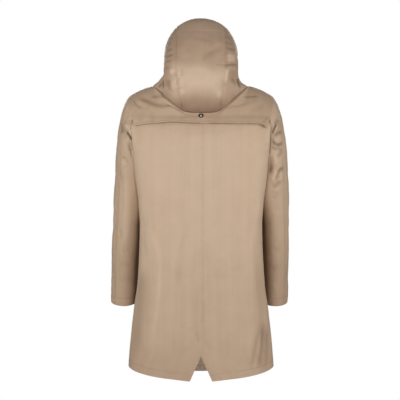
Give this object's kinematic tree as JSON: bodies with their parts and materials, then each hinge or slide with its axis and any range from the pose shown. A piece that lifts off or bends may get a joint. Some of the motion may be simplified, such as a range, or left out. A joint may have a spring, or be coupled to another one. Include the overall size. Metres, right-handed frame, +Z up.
{
  "type": "hooded parka",
  "caption": "Long hooded rain parka with back yoke flap, centre back seam, hem vent and two-piece sleeves, hollow and filled out as worn.",
  "frame": {"origin": "middle of the neckline, level with the points where the hood meets the shoulder seams, where the wearer's shoulders carry the coat", "axes": "+Z up along the coat, -Y the way the wearer faces, +X the wearer's left; the back yoke and vent face +Y"},
  "size_m": [0.5882, 0.3384, 1.1635],
  "materials": {
    "rain_cloth": "tan coated rain cloth with a faint sheen",
    "stud_metal": "dark gunmetal"
  },
  "bodies": {
    "root": {"back_left": "rain_cloth", "back_right": "rain_cloth", "back_yoke": "rain_cloth", "front_left": "rain_cloth", "front_right": "rain_cloth", "front_placket": "rain_cloth", "hood_back": "rain_cloth", "hood_crown": "rain_cloth", "hood_side_left": "rain_cloth", "hood_side_right": "rain_cloth", "sleeve_left_back": "rain_cloth", "sleeve_left_front": "rain_cloth", "sleeve_right_back": "rain_cloth", "sleeve_right_front": "rain_cloth", "press_stud": "stud_metal"}
  },
  "joints": []
}
